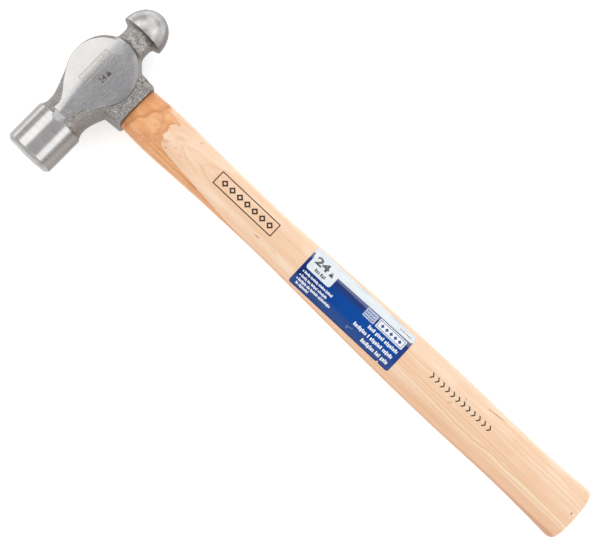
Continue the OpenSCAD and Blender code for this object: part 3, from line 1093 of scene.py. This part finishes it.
def hickory(name, end_grain=False):
    """Lacquered hickory: pale sapwood, orange heartwood by the head, grain along the handle."""
    f = Finish(name)
    x, y, z = f.axes()
    wave = f.sub(f.noise((0.02, 0.03, 0.03), 2), 0.5)
    ragged = f.sub(f.noise((0.22, 0.3, 0.2), 3, 0.6), 0.5)
    torn = f.sub(f.noise((0.5, 0.9, 0.5), 2, 0.7), 0.5)
    # Growth rings close in long arches towards the head and run straight down the grip
    arch = f.mul(f.math("MAXIMUM", f.sub(125.0, x), 0.0), 0.15)
    off_axis = f.add(f.sub(y, 2.0), f.mul(wave, 4.0))
    side = f.ramp(off_axis, -0.5, 0.5, 0.0, 30.0)
    wavy_y = f.add(f.hypot(arch, off_axis), side, f.mul(wave, 4.0))
    rings = f.node("ShaderNodeCombineXYZ", X=f.mul(x, 0.006), Y=wavy_y, Z=f.mul(z, 0.35)).outputs[0]
    broad = f.noise_at(rings, 0.22, 2.0)
    thin = f.noise_at(rings, 1.1, 3.0, 0.6)
    cloud = f.noise((0.035, 0.12, 0.12), 3)
    cloudy = f.ramp(cloud, 0.35, 0.65)
    pores = f.noise((0.2, 6.0, 6.0), 2, 0.6)

    # Sapwood, warmer low on the striking side and beside the streak
    pale = f.layers(f.tones(cloudy, (253, 226, 200), (248, 213, 182)),
                    ((243, 202, 166), broad, 0.4, 0.66, 0.8),
                    ((234, 184, 140), thin, 0.52, 0.68, 0.45),
                    ((252, 232, 206), thin, 0.46, 0.34, 0.55),
                    ((232, 180, 138), y, -8.0, -17.0, 0.65))
    beside = f.mul(f.ramp(x, 95.0, 60.0, 0.0, 0.6), f.ramp(y, 0.0, -7.0))
    pale = f.over(pale, beside, (236, 190, 150))
    for line_y, tone, much in GRIP_LINES:
        off = f.size(f.sub(f.add(y, f.mul(wave, 9.0)), line_y))
        pale = f.over(pale, f.mul(f.ramp(off, 0.9, 0.2, 0.0, much), f.ramp(x, 225.0, 260.0)), tone)

    # Heartwood, with a darker rim
    edge_x = f.curve(y, -16, 16, 40, 160, HEARTWOOD)
    edge_x = f.add(edge_x, f.mul(ragged, 5.0), f.mul(torn, 4.0))
    slope = f.ramp(y, -7.6, -9.6, 1.0, 0.1)
    inside = f.add(f.mul(f.sub(edge_x, x), slope), f.mul(torn, 0.6))
    heart = f.ramp(inside, -0.5, 0.7)
    patch = f.noise((0.16, 0.2, 0.16), 3, 0.6, 0.8)
    orange = f.layers(f.tones(cloudy, (240, 178, 124), (230, 160, 106)),
                      ((238, 162, 94), x, 40.0, 30.0, 0.75),
                      ((220, 146, 90), thin, 0.5, 0.66, 0.55),
                      ((246, 200, 152), broad, 0.5, 0.36, 0.5),
                      ((216, 144, 94), patch, 0.52, 0.66, 0.5),
                      ((246, 198, 146), patch, 0.46, 0.36, 0.5))
    rim = f.mul(f.ramp(f.size(f.sub(inside, 0.5)), 1.0, 0.1, 0.0, 0.95),
                f.ramp(x, 90.0, 150.0, 1.0, 0.2), f.ramp(cloud, 0.35, 0.6, 0.25, 1.0))
    colour = f.over(f.blend(heart, pale, orange), rim, (206, 138, 84))
    for points, tone, width, shade in VEINS:
        past = f.sub(x, f.add(f.curve(y, -16, 16, 28, 50, points), f.mul(ragged, 2.5)))
        vein = f.mul(f.ramp(past, -shade, 0.0), f.ramp(past, width, 0.0), heart, 0.75)
        colour = f.over(colour, vein, tone)
    for cx, cy, rx, ry, tilt, tone, much in FLECKS:
        colour = f.over(colour, f.mul(f.spot(x, y, cx, cy, rx, ry, tilt), much), tone)

    # Darker along the lower edge of the butt, partly darker wood and partly painted shade, and in
    # the pores; painted shade on the narrow sides and a painted shadow where the wood meets the
    # skirt
    butt_edge_tone_and_shade = f.mul(f.ramp(y, -15.6, -17.4), f.ramp(x, 285.0, 330.0), 0.7)
    colour = f.over(colour, butt_edge_tone_and_shade, (182, 118, 72))
    colour = f.layers(colour, ((160, 108, 68), pores, 0.64, 0.74, 0.22))
    # Painted shade: the narrow sides of the handle darkened, more on the striking side
    sides = f.mul(f.steep_wall_shade(0.05, 0.5), 0.75, f.ramp(y, 12.0, -12.0, 0.6, 1.0))
    colour = f.over(colour, sides, (188, 128, 84))
    # Painted shadow of the skirt on the wood where it enters the head
    colour = f.layers(colour, ((160, 100, 56), x, 29.2, 27.8, 0.4))
    # Fine dark and light lines along the streak
    streak = f.mul(heart, f.ramp(y, -8.0, -10.0), f.ramp(x, 38.0, 58.0), 0.6)
    strands = f.ramp(f.noise((0.012, 0.9, 0.5), 3, 0.6, 0.6), 0.38, 0.62)
    colour = f.blend(streak, colour, f.tones(strands, (200, 126, 66), (242, 180, 120)))
    # The lacquer tints the whole handle a little
    colour = f.blend(1.0, colour, rgb(244, 240, 236), "MULTIPLY")
    if end_grain:
        colour = f.over(colour, 0.45, (150, 96, 54))
    relief = f.add(f.mul(pores, 0.6), f.mul(thin, 0.4))
    return f.skin(colour, thin, 0.4, 0.5, f.bump(relief, 0.05, 0.3),
                  Coat_Weight=0.15, Coat_Roughness=0.25)


def wedge_steel():
    """Ends of the steel wedges, ground with the crown."""
    f = Finish("wedge_steel")
    lines = f.noise((1.5, 0.3, 4.0), 3)
    colour = f.tones(lines, (110, 108, 106), (165, 163, 160))
    return f.skin(colour, lines, 0.35, 0.55, f.bump(lines, 0.03, 0.5), Metallic=1.0)


def film(name, colour, worn, roughness):
    """Printed film: an even colour, slightly mottled, under a soft gloss."""
    f = Finish(name)
    mottle = f.noise((0.12, 0.2, 0.2), 3)
    grain = f.noise((2.5, 2.5, 2.5), 2)
    ripple = f.noise((0.05, 0.12, 0.12), 2)
    tone = f.tones(f.ramp(mottle, 0.3, 0.75), colour, worn)
    return f.skin(tone, grain, roughness - 0.04, roughness + 0.06, f.bump(ripple, 0.25, 0.4))


def label_blue():
    """The label's ground: bright blue in the middle, navy at its ends, duller at both sides."""
    f = Finish("label_blue")
    x, y, z = f.axes()
    mottle = f.noise((0.12, 0.3, 0.3), 3)
    fine = f.noise((2.5, 2.5, 2.5), 2)
    colour = f.layers(f.tones(f.ramp(x, 172.0, 196.0), (6, 42, 108), (0, 68, 150)),
                      ((34, 60, 124), x, 236.0, 243.0, 1.0),
                      ((46, 74, 132), y, -6.0, -9.0, 0.85),
                      ((30, 50, 104), y, -12.3, -13.3, 0.6),
                      ((34, 52, 108), y, 0.0, 3.6, 0.85),
                      ((112, 118, 144), y, 5.0, 5.8, 0.8),
                      ((222, 228, 232), y, 8.6, 9.2, 1.0),
                      ((6, 74, 158), mottle, 0.4, 0.8, 0.25))
    # A small crease
    for cx, cy, rx, ry, tilt in ((209.0, -9.6, 2.2, 0.25, 0.3), (207.0, -10.4, 0.5, 1.1, 0.0)):
        crease = f.spot(x, y, cx, cy, rx, ry, tilt)
        colour = f.over(colour, f.mul(crease, 0.4), (170, 190, 226))
    return f.skin(colour, fine, 0.28, 0.38, f.bump(mottle, 0.25, 0.35), Specular_IOR_Level=0.15)


def ink(name, colour, faded, wear):
    """Stamped ink: darker and lighter where the wood or steel took it."""
    f = Finish(name)
    grain = f.noise((0.5, 4.0, 4.0), 3, 0.6)
    tone = f.tones(f.ramp(grain, 0.42, 0.7, 0.0, wear), colour, faded)
    return f.skin(tone, grain, 0.45, 0.6, f.bump(grain, 0.02, 0.4))


def repaint(node, material):
    """Gives a CAD node its material."""
    mesh = frame["nodes"][node].data
    mesh.materials.clear()
    mesh.materials.append(material)


# ---------------------------------------------------------------- the pieces

wood = hickory("handle_hickory")
steels = [ground_steel(), turned_steel(), ball_steel(), forged_steel(), face_steel()]

head = make_head(steels)
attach(head, "root")
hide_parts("head")

handle = make_handle()
handle.data.materials.clear()
handle.data.materials.append(wood)
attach(handle, "root")
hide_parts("handle")

repaint("wood_wedge", hickory("wedge_wood", end_grain=True))
repaint("steel_wedge_face_side", wedge_steel())
repaint("steel_wedge_ball_side", wedge_steel())

label = make_label()
label.data.materials.append(label_blue())
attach(label, "root")
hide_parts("label")


def add_print(name, shapes, surface, low, high, material):
    """A printed piece between two heights over the surface."""
    piece = printed(name, shapes, surface, low, high, material)
    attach(piece, "root")


def add_label_print(name, shapes, layer, material):
    """A piece of the label's printing: layer 1 lies on the film, and layer 2 on layer 1."""
    low = FILM_TOP + LAYER * (layer - 2)
    add_print(name, shapes, as_seen, low, FILM_TOP + LAYER * layer, material)


# The label's printing, in millimetres on the label: the silver band along its upper edge
band = [(164.4, 8.5), (185, 8.7), (242.6, 9.9), (242.9, 12.6), (242.2, 13.3), (165.2, 13.3),
        (164.4, 12.6)]
tab = bar(165, 0.4, 184.2, 10, 1.8)
add_label_print("label_silver", [flat_shape([band]), flat_shape([tab])], 1,
                film("label_silver", (226, 232, 236), (212, 220, 226), 0.34))

# Small lines with a dot before each, as (foot, lengths of the runs), one without a dot, large
# lines, as (left end, foot, lengths of the runs), and a white bar
TEXT_LEFT = 167
SMALL_LINES = [(-2.7, (4.5, 6.0, 5.2, 4.6)), (-5.6, (4.0, 2.2, 5.2, 7.2)),
               (-8.2, (6.2, 2.2, 5.8, 9.6))]
LARGE_LINES = [(217, -1.0, (5.0, 6.2, 10.4)), (209.2, -5.4, (10.4, 1.2, 8.6, 8.0)),
               (219.2, -9.6, (10.0, 3.4, 5.6))]
whites = []
for y, lengths in SMALL_LINES:
    whites.append(flat_shape([arc(165.9, y + 0.6, 0.5, 0, 360, 12)[:-1]]))
    whites += words(TEXT_LEFT, y, 1.55, lengths, 1.0, 0.5)
whites += words(TEXT_LEFT, -10.4, 1.45, (1.9, 7.6), 1.0, 0.5)
for start, y, lengths in LARGE_LINES:
    whites += words(start, y, 2.3, lengths, 1.5, 0.9)
whites.append(flat_shape([bar(219.5, 2.8, 240.8, 8.9, 0.5)]))
add_label_print("label_white_print", whites, 1,
                film("label_white", (240, 242, 246), (228, 232, 238), 0.34))
add_label_print("label_grey_plate", [flat_shape([bar(209.3, 2.6, 218.2, 8.6, 0.4)])], 1,
                film("label_plate", (172, 182, 208), (190, 198, 216), 0.34))

# On the white bar and the plate: a border, five lozenges and three small lines
blues = [flat_shape([bar(220.2, 3.4, 240.1, 8.3, 0.2), bar(220.6, 3.8, 239.7, 7.9, 0.1)])]
for k in range(5):
    cx = 223.3 + 3.45 * k
    blues.append(flat_shape([lozenge(cx, 5.85, 1.3, 1.35)]))
for k in range(3):
    blues += words(210, 3.4 + 1.7 * k, 0.8, (3.2, 3.8), 0.9, 0.5)
add_label_print("label_blue_print", blues, 2,
                film("label_navy", (48, 76, 134), (66, 92, 146), 0.36))

# On the silver: the head's weight in ounces, a sign for weight and two lines
greys = [move(numerals("24", 10.2, 5.3, 0.035), TEXT_LEFT, 6)]
greys += weight_sign(178.6, 6, 3.0)
greys += words(170.6, 2.2, 2.0, (3.6, 3.6), 1.5, 0.6)
greys += words(232.2, 11.9, 0.7, (3.6, 4.2), 0.9, 0.5)
add_label_print("label_grey_print", greys, 2,
                film("label_grey", (76, 76, 78), (98, 98, 100), 0.4))

# Ink on the wood: a bordered row of lozenges, and a line of chevrons on the grip
stamp_ink = ink("wood_ink", (44, 24, 16), (96, 60, 40), 0.35)
border = [bar(91.0, -2.75, 137.8, 6.9, 0.1), bar(91.7, -2.05, 137.1, 6.2, 0.1)]
stamp = [flat_shape(border)]
for k in range(7):
    cx = 97.0 + 6.0 * k
    stamp.append(flat_shape([lozenge(cx, 2.05, 2.5, 2.45), lozenge(cx, 2.05, 1.1, 1.05)]))
add_print("wood_stamp", stamp, on_handle, -0.03, 0.015, stamp_ink)
chevrons = []
for k in range(12):
    cx = 262.5 + 4.15 * k
    chevrons.append(flat_shape([[(cx, 1.0), (cx + 1.0, 1.0), (cx + 2.4, 2.9), (cx + 1.0, 4.8),
                                 (cx, 4.8), (cx + 1.4, 2.9)]]))
add_print("grip_stamp", chevrons, on_handle, -0.03, 0.015, stamp_ink)


def on_cheek(across, up, lift):
    """A place on the upper cheek: across runs along the head, up runs towards the crown."""
    x, y = -up, across
    return np.stack([x, y, cheek_height(x, y) + lift], axis=-1)


# Ink on the upper cheek: the head's weight in ounces and the sign for weight
mark = [move(numerals("24", 4.5, 3.4, 0.012), -5.4, -4.9)] + weight_sign(-0.1, -4.9, 3.2)
add_print("size_mark", mark, on_cheek, -0.03, 0.012,
          ink("steel_ink", (78, 66, 56), (110, 96, 84), 0.5))


# ---------------------------------------------------------------- floor, light and camera

def make_floor():
    """A white floor that glows a little."""
    h = FLOOR_HALF
    mesh = bpy.data.meshes.new("floor")
    mesh.from_pydata([(-h, -h, 0), (h, -h, 0), (h, h, 0), (-h, h, 0)], [], [(0, 1, 2, 3)])
    f = Finish("floor")
    mottle = f.noise((0.004, 0.004, 0.004), 2)
    mesh.materials.append(f.set(
        Base_Color=f.tones(mottle, (250, 250, 250), (246, 246, 246)), Roughness=0.9,
        Specular_IOR_Level=0.1, Emission_Color=(1, 1, 1, 1), Emission_Strength=FLOOR_GLOW))
    obj = in_scene("floor", mesh)


def softbox(name, turn, nearest, furthest, width, brightness):
    """A lamp from its row in LAMPS, facing the head. Its brightness doesn't change with its size."""
    middle = math.radians(nearest + furthest) / 2
    half = math.radians(furthest - nearest) / 2
    bearing = math.radians(turn)
    way = Vector((math.sin(middle) * math.cos(bearing), math.sin(middle) * math.sin(bearing),
                  math.cos(middle)))
    lamp = bpy.data.lights.new(name, "AREA")
    lamp.shape = "RECTANGLE"
    lamp.size = width
    lamp.size_y = 2 * LAMP_DISTANCE * math.tan(half)
    lamp.energy = brightness * math.pi * lamp.size * lamp.size_y
    obj = in_scene(name, lamp)
    obj.location = Vector(to_row((0, 0, 0))) + way * LAMP_DISTANCE
    obj.rotation_euler = way.to_track_quat("Z", "Y").to_euler()


def make_world():
    """Even white light from everywhere."""
    world = bpy.data.worlds.new("studio")
    world.use_nodes = True
    back = world.node_tree.nodes["Background"]
    back.inputs["Color"].default_value = (1, 1, 1, 1)
    back.inputs["Strength"].default_value = WORLD_LIGHT
    bpy.context.scene.world = world


def make_camera():
    """The camera, turned about its line of sight by VIEW_ROLL."""
    lens = bpy.data.cameras.new("camera")
    lens.lens = LENS
    lens.sensor_width = 36.0
    lens.clip_end = 20.0
    target = Vector(to_row(VIEW_TARGET))
    place = Vector(to_row(np.array(VIEW_TARGET) + [0, -VIEW_SIDE, VIEW_HEIGHT]))
    forward = (target - place).normalized()
    right = forward.cross(Vector((0, 1, 0))).normalized()
    up = right.cross(forward)
    turn = math.radians(VIEW_ROLL)
    rolled_right = right * math.cos(turn) + up * math.sin(turn)
    rolled_up = up * math.cos(turn) - right * math.sin(turn)
    axes = Matrix((rolled_right, rolled_up, -forward)).transposed()
    camera = in_scene("camera", lens)
    camera.matrix_world = Matrix.Translation(place) @ axes.to_4x4()
    bpy.context.scene.camera = camera


make_floor()
make_world()
make_camera()
for name, row in LAMPS.items():
    softbox(name, *row)
bpy.context.scene.view_settings.view_transform = "Standard"
